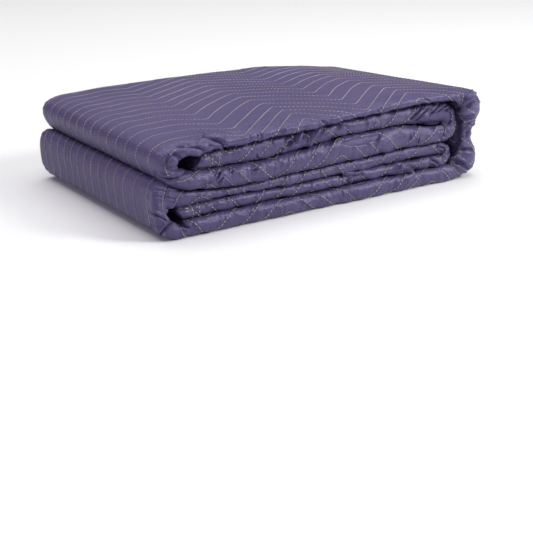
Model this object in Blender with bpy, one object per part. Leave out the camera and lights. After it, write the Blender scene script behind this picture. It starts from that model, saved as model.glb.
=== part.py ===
"""Quilted moving blanket, folded to a flat pack.

The blanket is 80 by 72 inches. Its width is folded in half three times, which makes a strip
eight plies thick. The strip is then folded along its length into six layers, from the upper
free end: layer 2, layer 3, fold A, layer 1, wrap, layer 6, fold B, layer 4, layer 5.
The pack lies flat on layer 6. Sizes in the tables are millimetres: X runs to the wrap,
Y to the back, and Z up from the surface that the pack lies on.
"""

import math
from collections import namedtuple

import bmesh
import bpy

MM = 0.001

# Driving sizes of the pack, in millimetres.
PACK_DEPTH = 231.0          # front roll to back folds
LAYER_GAP = 0.9             # air between neighbouring layers
LINE_SPACING = 17.6         # between two quilting lines, across the strip
ZIG_HALF_PERIOD = 70.0      # along the strip, from one kink to the next
ZIG_HEIGHT = 41.5           # across the strip, from kink to kink
ZIG_START = 26.2            # strip length at which a kink lies
RELIEF = 1.4                # how far the padding stands over and the stitching under the cloth
RIB_STEP = ZIG_HALF_PERIOD / 6
FRONT_ROWS = (-27.0, -18.0, -11.0, -5.5, 0.0, 5.0, 10.0, 16.0)
FRONT_FADE = 54.0           # behind this the rows follow the zig-zag fully
FADE_START = 186.0          # from here to the back folds the zig-zag flattens out again
FADE_END = 222.0
INSIDE_ROWS = (70.0, 140.0, 205.0)
HIDDEN_ROWS = (-205.0, -140.0, -70.0)
BACK_LOBE = 8.0             # how far each back fold bulges
LOBE_MIDDLE = 0.52          # each back fold's middle and reach, as shares of half a layer
LOBE_REACH = 0.48
LOBE_STEPS = 3
UPPER_TURN_STEPS = 7
LOWER_TURN_STEPS = 6
SHOWN_GAIN = 4.0            # rows follow the zig-zag fully from a quarter shown upwards
SHARP_DEGREES = 50.0
BINDING_WIDTH = 17.0
MIDDLE_X = 6.53             # the middle of the finished pack, in the tables' places
MIDDLE_Y = -1.24
PIECE_GAP = 0.3
END_ROUND = 0.7             # share of the thickness left at a free end's last rib
END_RECESS = 1.5            # how far that rib stands back from its layer's front roll
BEFORE_ROWS = -1000.0       # order of the points round a section: lobe, rows, lobe, close
AFTER_ROWS = 1000.0
CLOSING = 2000.0

# Heights of the borders between layers, at stations along X.
Borders = namedtuple("Borders", "x b56 b45 b34 b23 b12 top")
BORDERS = [Borders(*row) for row in (
    (-150.0, 14.0, 24.5, 41.0, 56.5, 70.0, 79.5),
    (-130.0, 15.0, 26.0, 38.0, 55.5, 70.0, 81.0),
    (-99.0, 15.5, 27.0, 35.0, 54.0, 71.5, 82.5),
    (-65.0, 15.6, 26.5, 35.0, 53.5, 73.0, 83.5),
    (-31.0, 15.0, 25.5, 36.0, 56.0, 74.0, 84.5),
    (33.0, 15.2, 26.0, 37.5, 62.0, 77.0, 87.0),
    (90.0, 15.5, 26.5, 39.5, 62.5, 79.0, 89.5),
    (134.0, 15.0, 26.0, 39.0, 59.0, 78.5, 90.0),
    (152.0, 14.5, 25.0, 38.0, 58.0, 77.0, 89.0),
)]

# Each layer: borders under and over it, the side its outer cloth faces, how far its front
# roll stands back from the pack's front, and how deep that roll is on both sides.
Layer = namedtuple("Layer", "under over outer_up recess roll_outer roll_inner")
LAYERS = {
    1: Layer("b12", "top", True, 0.0, 28.0, 8.0),
    2: Layer("b23", "b12", True, 5.0, 11.0, 9.0),
    3: Layer("b34", "b23", False, 2.5, 10.0, 11.0),
    4: Layer("b45", "b34", True, 6.5, 7.0, 7.0),
    5: Layer("b56", "b45", False, 5.5, 6.0, 6.0),
    6: Layer("floor", "b56", False, 0.5, 6.5, 7.0),
}

# Places of the turns and free ends along X.
UPPER_END_X = -125.0
LOWER_END_X = -142.0
UPPER_TURN_X = 139.0
LOWER_TURN_X = 141.0
FOLD_A_X = -136.0
FOLD_B_X = -143.0
WRAP_X = 152.0

# The two side folds: inner cloth round the hollow, outer cloth, and how much of it shows.
FoldRow = namedtuple("FoldRow", "inner_x inner_z outer_x outer_z shown")
FOLD_A = [FoldRow(*row) for row in (
    (-142.5, 56.4, -146.0, 41.9, 0.0),
    (-146.6, 57.8, -155.5, 46.4, 0.1),
    (-148.8, 60.0, -163.5, 52.0, 0.5),
    (-149.8, 62.6, -169.5, 58.8, 0.9),
    (-149.6, 65.0, -171.8, 66.2, 1.0),
    (-148.2, 67.4, -169.0, 72.6, 1.0),
    (-145.4, 69.2, -161.5, 76.8, 1.0),
    (-141.6, 70.1, -150.0, 79.7, 1.0),
)]
FOLD_B = [FoldRow(*row) for row in (
    (-149.5, 13.4, -153.5, 0.3, 0.0),
    (-154.0, 14.4, -163.5, 3.4, 0.3),
    (-157.0, 16.0, -169.8, 10.0, 0.8),
    (-158.4, 18.0, -172.8, 19.0, 1.0),
    (-158.8, 20.0, -173.6, 28.6, 1.0),
    (-158.2, 22.0, -173.2, 38.4, 1.0),
    (-156.2, 23.6, -170.0, 46.8, 0.7),
    (-152.8, 24.6, -162.5, 49.3, 0.2),
    (-148.4, 25.0, -152.5, 43.6, 0.0),
)]
WRAP_ROLL = 12.0            # the wrap's front roll is not as deep as the top layer's

# The wrap round the far end: angle up from the middle, reach of its inner and outer cloth.
WrapRow = namedtuple("WrapRow", "degrees inner outer")
WRAP = [WrapRow(*row) for row in (
    (76.0, 4.0, 15.0),
    (58.0, 7.0, 27.5),
    (42.0, 9.0, 33.0),
    (28.0, 10.0, 34.5),
    (16.0, 11.0, 31.0),
    (5.0, 12.0, 25.5),
    (-7.0, 12.0, 24.5),
    (-19.0, 11.5, 27.5),
    (-31.0, 11.0, 30.5),
    (-44.0, 10.0, 30.5),
    (-60.0, 7.0, 26.0),
    (-77.0, 4.0, 14.0),
)]

# The pack thins towards its back at the wrap's end, where the layers are pressed tighter.
THIN_SHARE = 0.19
THIN_START_X = -120.0
THIN_FULL_X = 172.0

FABRIC_COLOUR = (0.085, 0.066, 0.17, 1.0)
FABRIC_ROUGHNESS = 0.55
BINDING_COLOUR = (0.075, 0.07, 0.16, 1.0)
BINDING_ROUGHNESS = 0.6


def clear_scene():
    """Remove whatever objects the file holds."""
    for item in list(bpy.data.objects):
        bpy.data.objects.remove(item, do_unlink=True)


def smooth(low, high, value):
    """Go from 0 at low to 1 at high with level ends."""
    share = min(max((value - low) / (high - low), 0.0), 1.0)
    return share * share * (3.0 - 2.0 * share)


def border(name, x):
    """Height of one border between layers at x."""
    if name == "floor":
        return 0.0
    if x <= BORDERS[0].x:
        return getattr(BORDERS[0], name)
    for row, following in zip(BORDERS, BORDERS[1:]):
        if x <= following.x:
            low, high = getattr(row, name), getattr(following, name)
            return low + smooth(row.x, following.x, x) * (high - low)
    return getattr(BORDERS[-1], name)


def layer_faces(number, x):
    """Heights of the underside and the upper side of a layer at x."""
    layer = LAYERS[number]
    low = border(layer.under, x) + (LAYER_GAP / 2 if layer.under != "floor" else 0.0)
    high = border(layer.over, x) - (LAYER_GAP / 2 if layer.over != "top" else 0.0)
    return low, high


def make_rib(inner, outer, sizes, shown):
    """A line through the strip's thickness, with the sizes of the section it carries."""
    recess, roll_outer, roll_inner = sizes
    return {"inner": inner, "outer": outer, "recess": recess, "shown": shown,
            "roll_outer": roll_outer, "roll_inner": roll_inner}


def front_sizes(number):
    """Recess and the two depths of a layer's front roll."""
    layer = LAYERS[number]
    return layer.recess, layer.roll_outer, layer.roll_inner


def layer_rib(number, x, shown):
    """One upright rib through a layer."""
    low, high = layer_faces(number, x)
    inner, outer = ((x, low), (x, high)) if LAYERS[number].outer_up else ((x, high), (x, low))
    return make_rib(inner, outer, front_sizes(number), shown)


def turn_rib(inner, outer, share, first, last, shown):
    """One rib of a turn, part of the way from layer first to layer last."""
    blend = smooth(0.0, 1.0, share)
    sizes = [a + blend * (b - a) for a, b in zip(front_sizes(first), front_sizes(last))]
    return make_rib(inner, outer, sizes, shown)


def straight(number, start, end, shown=0.0):
    """Ribs along a layer, both ends included."""
    steps = round(abs(end - start) / RIB_STEP)
    ribs = []
    for step in range(steps + 1):
        x = start + (end - start) * step / steps
        ribs.append(layer_rib(number, x, shown))
    return ribs


def small_turn(first, last, x, steps):
    """The tight turn that joins two neighbouring layers at the wrap's end of the pack."""
    first_low, first_high = layer_faces(first, x)
    last_low, last_high = layer_faces(last, x)
    middle = (first_low + last_high) / 2
    first_thick = first_high - first_low
    last_thick = last_high - last_low
    ribs = []
    for step in range(1, steps):
        share = step / steps
        angle = math.pi * (0.5 - share)
        thick = first_thick + share * (last_thick - first_thick)
        inside = LAYER_GAP / 2
        outside = inside + thick
        inner = (x + inside * math.cos(angle), middle + inside * math.sin(angle))
        outer = (x + outside * math.cos(angle), middle + outside * math.sin(angle))
        ribs.append(turn_rib(inner, outer, share, first, last, 0.0))
    return ribs


def side_fold(first, last, rows):
    """The fold that carries layer first over a free end into layer last."""
    ribs = []
    for step, row in enumerate(rows):
        share = (step + 1) / (len(rows) + 1)
        inner, outer = (row.inner_x, row.inner_z), (row.outer_x, row.outer_z)
        ribs.append(turn_rib(inner, outer, share, first, last, row.shown))
    return ribs


def wrap():
    """The outer wrap that carries layer 1 round the far end into layer 6."""
    top_low, top_high = layer_faces(1, WRAP_X)
    base_low, base_high = layer_faces(6, WRAP_X)
    middle = (top_low + base_high) / 2
    ribs = []
    for step, row in enumerate(WRAP):
        rise = math.sin(math.radians(row.degrees))
        outer_height = (top_high - middle if rise > 0 else middle) * rise
        inner = (WRAP_X + row.inner, middle + (top_low - middle) * rise)
        outer = (WRAP_X + row.outer, middle + outer_height)
        share = (step + 1) / (len(WRAP) + 1)
        shown = 1.0 if rise > -0.5 else smooth(-1.0, -0.5, rise)
        rib = turn_rib(inner, outer, share, 1, 6, shown)
        rib["roll_outer"] = WRAP_ROLL
        ribs.append(rib)
    return ribs


def path_ribs():
    """All ribs of the strip, from the upper free end to the lower free end."""
    panel_start = UPPER_END_X + BINDING_WIDTH + PIECE_GAP
    panel_end = LOWER_END_X + BINDING_WIDTH + PIECE_GAP
    ribs = straight(2, panel_start, UPPER_TURN_X)
    ribs += small_turn(2, 3, UPPER_TURN_X, UPPER_TURN_STEPS)
    ribs += straight(3, UPPER_TURN_X, FOLD_A_X)
    ribs += side_fold(3, 1, FOLD_A)
    ribs += straight(1, FOLD_A_X, WRAP_X, shown=1.0)
    ribs += wrap()
    ribs += straight(6, WRAP_X, FOLD_B_X)
    ribs += side_fold(6, 4, FOLD_B)
    ribs += straight(4, FOLD_B_X, LOWER_TURN_X)
    ribs += small_turn(4, 5, LOWER_TURN_X, LOWER_TURN_STEPS)
    ribs += straight(5, LOWER_TURN_X, panel_end)
    return ribs


def strip_lengths(ribs):
    """Length of outer cloth from the start of the strip to each rib."""
    lengths = [0.0]
    for before, after in zip(ribs, ribs[1:]):
        run = math.dist(before["outer"], after["outer"])
        lengths.append(lengths[-1] + run)
    return lengths


def zigzag(length):
    """Sideways place of a quilting line at a length along the strip."""
    phase = (length - ZIG_START) / (2 * ZIG_HALF_PERIOD)
    wave = abs(2 * (phase - math.floor(phase)) - 1.0)
    return ZIG_HEIGHT * (wave - 0.5)


def cloth_rows(shown):
    """Places of the rows across the strip, from the back over the outer cloth to the inside."""
    if shown > 0:
        half = LINE_SPACING / 2
        behind = [-half * step for step in range(int(PACK_DEPTH / half) - 1, 3, -1)]
    else:
        behind = list(HIDDEN_ROWS)
    return behind + list(FRONT_ROWS) + list(INSIDE_ROWS)


def section_point(place, rib):
    """Depth from the pack's front, side (1 outer, -1 inner) and how much of it shows."""
    roll = rib["roll_outer"] if place < 0 else rib["roll_inner"]
    half = math.dist(rib["inner"], rib["outer"]) / 2
    quarter = math.pi / 4 * (roll + half)
    distance = abs(place)
    if distance >= quarter:
        depth = rib["recess"] + roll + (distance - quarter)
        side = 1.0
    else:
        angle = math.pi / 2 * distance / quarter
        depth = rib["recess"] + roll * (1 - math.cos(angle))
        side = math.sin(angle)
    facing = math.sqrt(max(0.0, 1.0 - side * side))
    outward = side if place < 0 else -side
    return depth, outward, facing


def thinned(x, y, z):
    """Height after the pack has thinned towards its back at the wrap's end."""
    along = smooth(THIN_START_X, THIN_FULL_X, x)
    back = y / PACK_DEPTH + 0.5
    return z * (1.0 - THIN_SHARE * along * back)


def to_world(rib, depth, outward, raised=0.0):
    """Place a point of a section: depth from the front, side across the rib, relief."""
    share = (outward + 1.0) / 2
    inner, outer = rib["inner"], rib["outer"]
    x = inner[0] + share * (outer[0] - inner[0])
    z = inner[1] + share * (outer[1] - inner[1])
    y = depth - PACK_DEPTH / 2
    span = math.dist(inner, outer)
    x += raised * outward * (outer[0] - inner[0]) / span
    z += raised * outward * (outer[1] - inner[1]) / span
    y -= raised * math.sqrt(max(0.0, 1.0 - outward * outward))
    return ((x - MIDDLE_X) * MM, (y - MIDDLE_Y) * MM, thinned(x, y, z) * MM)


def relief(length, place, outward, facing, shown):
    """Height of the padding over the cloth's middle, lowest on a quilting line."""
    across = (place - zigzag(length)) / LINE_SPACING
    wave = 2 * math.sqrt(abs(math.sin(math.pi * across))) - 1.0
    strength = max(shown if outward > 0 else 0.0, facing * facing)
    return RELIEF * wave * strength


def follow(place):
    """How fully a row follows the zig-zag."""
    if place > 0:
        return 0.0
    return smooth(0.0, FRONT_FADE, -place) * (1.0 - smooth(FADE_START, FADE_END, -place))


def lobe_points(rib, sign):
    """Points round one of the two back folds of a section."""
    points = []
    for step in range(LOBE_STEPS + 1):
        angle = math.pi * (step / LOBE_STEPS - 0.5)
        outward = sign * LOBE_MIDDLE + LOBE_REACH * math.sin(angle)
        depth = PACK_DEPTH - BACK_LOBE + BACK_LOBE * math.cos(angle)
        points.append(to_world(rib, depth, outward))
    return points


def rib_points(rib, length):
    """Points round one section as (order, place), from the back round to the back."""
    points = [(BEFORE_ROWS + step, point) for step, point in enumerate(lobe_points(rib, 1))]
    for place in cloth_rows(rib["shown"]):
        following = follow(place) * min(1.0, rib["shown"] * SHOWN_GAIN)
        moved = place + zigzag(length) * following
        depth, outward, facing = section_point(moved, rib)
        raised = relief(length, moved, outward, facing, rib["shown"])
        points.append((place, to_world(rib, depth, outward, raised)))
    points += [(AFTER_ROWS + step, point) for step, point in enumerate(lobe_points(rib, -1))]
    return points


def join_loops(mesh, near, far):
    """Fill the band between two closed loops of (order, vertex)."""
    near_round = near + [(CLOSING, near[0][1])]
    far_round = far + [(CLOSING, far[0][1])]
    i, j = 0, 0
    while i < len(near) or j < len(far):
        here, there = near_round[i][1], far_round[j][1]
        next_near = near_round[i + 1][0] if i < len(near) else CLOSING + 1
        next_far = far_round[j + 1][0] if j < len(far) else CLOSING + 1
        if next_near == next_far:
            after, beyond = near_round[i + 1][1], far_round[j + 1][1]
            if (after.co - there.co).length < (here.co - beyond.co).length:
                corners = ((here, after, there), (there, after, beyond))
            else:
                corners = ((here, after, beyond), (here, beyond, there))
            for corner in corners:
                mesh.faces.new(corner)
            i += 1
            j += 1
        elif next_near < next_far:
            mesh.faces.new((here, near_round[i + 1][1], there))
            i += 1
        else:
            mesh.faces.new((here, far_round[j + 1][1], there))
            j += 1


def cap(mesh, loop):
    """Close a free end with a fan about its middle."""
    middle = [sum(vert.co[axis] for place, vert in loop) / len(loop) for axis in range(3)]
    centre = mesh.verts.new(middle)
    for (place_a, vert_a), (place_b, vert_b) in zip(loop, loop[1:] + loop[:1]):
        mesh.faces.new((centre, vert_a, vert_b))


def tube(name, ribs, lengths, material):
    """Build one closed solid through the ribs."""
    mesh = bmesh.new()
    loops = []
    for rib, length in zip(ribs, lengths):
        loop = [(place, mesh.verts.new(point)) for place, point in rib_points(rib, length)]
        loops.append(loop)
    for near, far in zip(loops, loops[1:]):
        join_loops(mesh, near, far)
    cap(mesh, loops[0])
    cap(mesh, loops[-1])
    bmesh.ops.recalc_face_normals(mesh, faces=mesh.faces[:])
    data = bpy.data.meshes.new(name)
    mesh.to_mesh(data)
    mesh.free()
    data.materials.append(material)
    data.shade_smooth()
    data.set_sharp_from_angle(angle=math.radians(SHARP_DEGREES))
    item = bpy.data.objects.new(name, data)
    bpy.context.scene.collection.objects.link(item)
    return item


def make_material(name, colour, roughness):
    """A plain cloth finish."""
    material = bpy.data.materials.new(name)
    material.use_nodes = True
    shader = material.node_tree.nodes["Principled BSDF"]
    shader.inputs["Base Color"].default_value = colour
    shader.inputs["Roughness"].default_value = roughness
    shader.inputs["Metallic"].default_value = 0.0
    return material


def quilted_panel():
    """The quilted cloth itself, as one folded strip."""
    material = make_material("quilted_cloth", FABRIC_COLOUR, FABRIC_ROUGHNESS)
    ribs = path_ribs()
    return tube("quilted_panel", ribs, strip_lengths(ribs), material)


def end_binding(name, number, x_end):
    """The folded tape on one free end of the strip."""
    material = make_material(name + "_tape", BINDING_COLOUR, BINDING_ROUGHNESS)
    ribs = straight(number, x_end, x_end + BINDING_WIDTH)
    end = ribs[0]
    middle = [(a + b) / 2 for a, b in zip(end["inner"], end["outer"])]
    for side in ("inner", "outer"):
        end[side] = tuple(m + END_ROUND * (p - m) for m, p in zip(middle, end[side]))
    end["recess"] += END_RECESS
    lengths = [ZIG_START] * len(ribs)
    return tube(name, ribs, lengths, material)


def main():
    clear_scene()
    quilted_panel()
    end_binding("end_binding_upper", 2, UPPER_END_X)
    end_binding("end_binding_lower", 5, LOWER_END_X)


main()
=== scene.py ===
"""Looks of a zig-zag quilted moving blanket, folded to a flat pack.

The blanket is one thin sheet. Its width is folded in half three times into a strip eight
plies thick, and the strip is folded along its length into six layers. Two distances name a
point of the flat cloth: `along`, from the strip's upper free end, and `across`, from the long
free edge. Sizes are millimetres until a mesh is made.
"""

import math
from collections import namedtuple

import bpy
import numpy as np
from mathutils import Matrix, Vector


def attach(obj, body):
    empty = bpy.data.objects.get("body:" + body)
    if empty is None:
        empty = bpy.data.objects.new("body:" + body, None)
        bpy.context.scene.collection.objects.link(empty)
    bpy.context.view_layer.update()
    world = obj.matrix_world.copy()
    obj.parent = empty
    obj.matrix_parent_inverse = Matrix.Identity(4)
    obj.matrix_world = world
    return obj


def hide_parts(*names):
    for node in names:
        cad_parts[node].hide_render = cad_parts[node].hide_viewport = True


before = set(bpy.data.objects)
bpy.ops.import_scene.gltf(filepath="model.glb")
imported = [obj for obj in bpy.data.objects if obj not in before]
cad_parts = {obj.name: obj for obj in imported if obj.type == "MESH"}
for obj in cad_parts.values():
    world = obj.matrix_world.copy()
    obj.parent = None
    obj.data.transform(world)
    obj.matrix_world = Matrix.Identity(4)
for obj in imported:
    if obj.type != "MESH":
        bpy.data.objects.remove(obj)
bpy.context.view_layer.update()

MM = 0.001


def table(columns, *rows):
    """A table with named columns."""
    row_type = namedtuple("Row", columns)
    return [row_type(*row) for row in rows]


def smooth(low, high, value):
    """Go from 0 at low to 1 at high with level ends."""
    share = np.clip((value - low) / (high - low), 0.0, 1.0)
    return share * share * (3.0 - 2.0 * share)


def unit(vectors):
    """The vectors at length 1."""
    return vectors / np.maximum(np.linalg.norm(vectors, axis=-1, keepdims=True), 1e-9)


def new_object(name, data):
    """An object in the scene that shows this data."""
    item = bpy.data.objects.new(name, data)
    bpy.context.scene.collection.objects.link(item)
    return item


# ---- The pack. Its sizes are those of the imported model, with small shifts. ----

PACK_DEPTH = 231.0          # front rolls to back folds
LAYER_GAP = 0.9             # air between neighbouring layers
MIDDLE_X = 6.53             # the middle of the pack, in the tables' places
MIDDLE_Y = -1.24
RIB_STEP = 70.0 / 6
ROLL_SHARE = 0.75           # the padded rolls are flatter than the solid's, and close the gaps
# The pack thins to its back at the wrap's end: share of the height lost at the back.
THINNING_X = (-120.0, -30.0, 20.0, 75.0, 120.0, 150.0, 175.0)
THINNING_SHARE = (0.0, 0.028, 0.055, 0.092, 0.135, 0.172, 0.19)

# Heights of the borders between layers.
BORDERS = table(
    "x b56 b45 b34 b23 b12 top",
    (-150.0, 14.0, 24.5, 41.0, 56.5, 70.0, 79.5),
    (-130.0, 15.0, 26.0, 38.0, 55.5, 70.0, 81.0),
    (-99.0, 15.5, 27.0, 35.0, 54.0, 71.5, 82.5),
    (-65.0, 15.6, 26.5, 35.0, 53.5, 73.0, 83.5),
    (-31.0, 15.0, 25.5, 36.0, 56.0, 74.0, 84.5),
    (33.0, 15.2, 26.0, 37.5, 62.0, 77.0, 87.0),
    (90.0, 15.5, 26.5, 39.5, 61.8, 79.0, 89.5),
    (112.0, 15.3, 26.3, 39.3, 59.5, 79.0, 89.8),
    (134.0, 15.0, 26.0, 39.0, 56.3, 78.5, 90.0),
    (152.0, 14.5, 25.0, 38.0, 55.0, 77.0, 89.0),
)

# Each layer: its borders, the side its outer cloth faces, how far its front roll stands back,
# and how deep that roll is on both sides.
LAYERS = dict(enumerate(table(
    "under over outer_up recess roll_outer roll_inner",
    ("b12", "top", True, 0.0, 28.0, 8.0),
    ("b23", "b12", True, 5.0, 11.0, 9.0),
    ("b34", "b23", False, 2.5, 10.0, 11.0),
    ("b45", "b34", True, 6.5, 7.0, 7.0),
    ("b56", "b45", False, 5.5, 6.0, 6.0),
    ("floor", "b56", False, 0.5, 6.5, 7.0),
), 1))

UPPER_END_X = -125.0
LOWER_END_X = -145.0
UPPER_END_LEAN = -10.0      # how far the inner side of each free end is moved along x
LOWER_END_LEAN = -6.5
UPPER_TURN_X = 139.0
LOWER_TURN_X = 141.0
UPPER_TURN_STEPS = 7
LOWER_TURN_STEPS = 6
FOLD_A_X = -136.0
FOLD_B_X = -143.0
WRAP_X = 152.0
WRAP_ROLL = 12.0
WRAP_INNER_ROLL = 9.0       # the wrap's front falls back towards the pack it goes round

# The two side folds: the cloth round the hollow, and the outer cloth.
FOLD_A = table(
    "inner_x inner_z outer_x outer_z",
    (-142.5, 56.4, -146.0, 41.9),
    (-146.6, 57.8, -155.5, 45.4),
    (-148.8, 60.0, -163.0, 51.4),
    (-149.8, 62.6, -167.8, 59.4),
    (-149.6, 65.0, -169.6, 67.8),
    (-148.2, 67.4, -167.0, 74.0),
    (-145.4, 69.2, -160.0, 78.0),
    (-141.6, 70.1, -149.5, 80.4),
)
FOLD_B = table(
    "inner_x inner_z outer_x outer_z",
    (-147.5, 11.6, -153.5, 0.3),
    (-151.5, 12.6, -163.5, 3.2),
    (-155.5, 14.6, -170.3, 9.6),
    (-158.4, 17.6, -173.2, 19.0),
    (-160.0, 20.8, -173.8, 28.6),
    (-160.0, 23.6, -173.4, 38.4),
    (-157.4, 25.4, -170.2, 46.8),
    (-153.2, 25.8, -162.5, 49.3),
    (-148.4, 25.6, -152.5, 43.6),
)

# The wrap: how far its inner and outer cloth go past its start, by the angle round it.
WRAP = table(
    "degrees inner outer",
    (76.0, 3.0, 16.0),
    (58.0, 4.5, 28.5),
    (42.0, 7.0, 35.0),
    (28.0, 8.2, 36.0),
    (16.0, 9.2, 32.0),
    (5.0, 9.6, 26.0),
    (-7.0, 9.4, 24.5),
    (-19.0, 8.4, 29.5),
    (-31.0, 6.8, 34.0),
    (-44.0, 4.8, 33.5),
    (-60.0, 2.5, 28.0),
    (-77.0, 1.0, 14.0),
)

# A rib is a line through the strip's thickness, with the sizes of the section it carries.
Rib = namedtuple("Rib", "inner_x inner_z outer_x outer_z recess roll_outer roll_inner")


def border(name, x):
    """Height of one border between layers at x."""
    if name == "floor":
        return 0.0
    place = np.interp(x, [row.x for row in BORDERS], range(len(BORDERS)))
    left = min(int(place), len(BORDERS) - 2)
    low, high = (getattr(row, name) for row in BORDERS[left:left + 2])
    return float(low + smooth(0.0, 1.0, place - left) * (high - low))


def layer_faces(number, x):
    """Heights of the underside and the upper side of a layer at x."""
    layer = LAYERS[number]
    low = border(layer.under, x) + (LAYER_GAP / 2 if layer.under != "floor" else 0.0)
    high = border(layer.over, x) - (LAYER_GAP / 2 if layer.over != "top" else 0.0)
    return low, high


def front_sizes(number):
    """Recess and the two depths of a layer's front roll."""
    layer = LAYERS[number]
    outer = layer.roll_outer * (1.0 if number == 1 else ROLL_SHARE)
    return layer.recess, outer, layer.roll_inner * ROLL_SHARE


def layer_rib(number, x):
    """One upright rib through a layer."""
    faces = layer_faces(number, x)
    inner, outer = faces if LAYERS[number].outer_up else faces[::-1]
    return Rib(x, inner, x, outer, *front_sizes(number))


def turn_rib(places, share, first, last):
    """One rib of a turn, part of the way from layer first to layer last."""
    blend = float(smooth(0.0, 1.0, share))
    sizes = [a + blend * (b - a) for a, b in zip(front_sizes(first), front_sizes(last))]
    return Rib(*places, *sizes)


def straight(number, start, end):
    """Ribs along a layer, both ends included."""
    steps = round(abs(end - start) / RIB_STEP)
    return [layer_rib(number, start + (end - start) * step / steps) for step in range(steps + 1)]


def small_turn(first, last, x, steps):
    """The tight turn that joins two neighbouring layers at the wrap's end of the pack."""
    first_low, first_high = layer_faces(first, x)
    last_low, last_high = layer_faces(last, x)
    middle = (first_low + last_high) / 2
    ribs = []
    for share in (step / steps for step in range(1, steps)):
        angle = math.pi * (0.5 - share)
        thick = first_high - first_low
        thick += share * (last_high - last_low - thick)
        places = []
        for radius in (LAYER_GAP / 2, LAYER_GAP / 2 + thick):
            places += [x + radius * math.cos(angle), middle + radius * math.sin(angle)]
        ribs.append(turn_rib(places, share, first, last))
    return ribs


def side_fold(first, last, rows):
    """The fold that carries layer first over a free end into layer last."""
    shares = [(step + 1) / (len(rows) + 1) for step in range(len(rows))]
    return [turn_rib(row, share, first, last) for row, share in zip(rows, shares)]


def wrap():
    """The outer wrap that carries layer 1 round the far end into layer 6."""
    top_low, top_high = layer_faces(1, WRAP_X)
    middle = (top_low + layer_faces(6, WRAP_X)[1]) / 2
    places = []
    for row in WRAP:
        rise = math.sin(math.radians(row.degrees))
        outer_height = (top_high - middle if rise > 0 else middle) * rise
        inner = (WRAP_X + row.inner, middle + (top_low - middle) * rise)
        places.append((*inner, WRAP_X + row.outer, middle + outer_height))
    ribs = side_fold(1, 6, places)
    return [rib._replace(roll_outer=WRAP_ROLL, roll_inner=WRAP_INNER_ROLL) for rib in ribs]


def slanted(ribs, number, lean):
    """The ribs with one of them leaning: its inner end is moved along x."""
    ribs[number] = ribs[number]._replace(inner_x=ribs[number].inner_x + lean)
    return ribs


def path_parts():
    """The stretches of the strip in order, by name, each a list of ribs."""
    return {
        "layer 2": slanted(straight(2, UPPER_END_X, UPPER_TURN_X), 0, UPPER_END_LEAN),
        "turn 23": small_turn(2, 3, UPPER_TURN_X, UPPER_TURN_STEPS),
        "layer 3": straight(3, UPPER_TURN_X, FOLD_A_X),
        "fold A": side_fold(3, 1, FOLD_A),
        "layer 1": straight(1, FOLD_A_X, WRAP_X),
        "wrap": wrap(),
        "layer 6": straight(6, WRAP_X, FOLD_B_X),
        "fold B": side_fold(6, 4, FOLD_B),
        "layer 4": straight(4, FOLD_B_X, LOWER_TURN_X),
        "turn 45": small_turn(4, 5, LOWER_TURN_X, LOWER_TURN_STEPS),
        "layer 5": slanted(straight(5, LOWER_TURN_X, LOWER_END_X), -1, LOWER_END_LEAN),
    }


class Strip:
    """The folded strip as smooth curves through its ribs."""

    def __init__(self):
        parts = path_parts()
        self.ribs = np.array([rib for part in parts.values() for rib in part])
        steps = np.hypot(*np.diff(self.ribs[:, 2:4], axis=0).T)
        self.places = np.concatenate(([0.0], np.cumsum(steps)))
        self.total = self.places[-1]
        self.slopes = np.gradient(self.ribs, self.places, axis=0)
        ends = np.cumsum([len(part) for part in parts.values()])[:-1]
        limits = [0.0, *((self.places[ends - 1] + self.places[ends]) / 2), self.total]
        self.stretches = dict(zip(parts, zip(limits, limits[1:])))

    def at(self, along):
        """The ribs at these distances, one named array for each of a rib's sizes."""
        along = np.clip(along, 0.0, self.total)
        left = np.searchsorted(self.places, along, side="right") - 1
        left = np.clip(left, 0, len(self.places) - 2)
        span = (self.places[left + 1] - self.places[left])[..., None]
        t = (along - self.places[left])[..., None] / span
        value = (2 * t**3 - 3 * t**2 + 1) * self.ribs[left]
        value = value + (t**3 - 2 * t**2 + t) * self.slopes[left] * span
        value = value + (3 * t**2 - 2 * t**3) * self.ribs[left + 1]
        value = value + (t**3 - t**2) * self.slopes[left + 1] * span
        return Rib(*np.moveaxis(value, -1, 0))


STRIP = Strip()

# ---- The plies of the strip. ----

FLAT_WIDTH = 1829.0
PLIES = 8
PLY_WIDTH = FLAT_WIDTH / PLIES
FRONT_LINE = PLY_WIDTH      # across: the last fold line, along the pack's front
OUTER_PLY = 1.9             # room that the outermost ply takes, puffs included
OUTER_SHARE = 0.2           # but never more than this share of the strip
PLY_FILL = 0.86             # cloth in each ply's room; the rest is air
ROLL_LEAST = 0.4            # a front roll is at least this deep, in half its height
HEM_DROP = 7.0              # the outer ply's free edge hangs over the pack's back
HEM_SHARE = 0.55            # it drops no more than this share of the strip's thickness
CORNER_START_X = 70.0       # the back corner beside the wrap is rounded from here on
CORNER_FULL_X = 180.0
CORNER_CUT = 22.0
CORNER_BACK = 0.62          # share of the depth in front of the rounding
NUDGE = 0.4                 # step for measuring slopes of the cloth

# The eighths of the width: the place in the strip from its outer side, how many plies lie
# outside the front fold, the place of the eighth joined at the back (its own at a free edge),
# how far back it reaches, and its roll there.
EIGHTHS = np.array((
    (0, 0, 0, 232.6, 6.0),
    (7, 0, 4, 231.0, 5.0),
    (4, 3, 7, 231.0, 5.0),
    (3, 3, 2, 229.5, 2.5),
    (2, 2, 3, 229.5, 2.5),
    (5, 2, 6, 226.5, 1.5),
    (6, 1, 5, 226.5, 1.5),
    (1, 1, 1, 229.0, 0.0),
))


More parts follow.
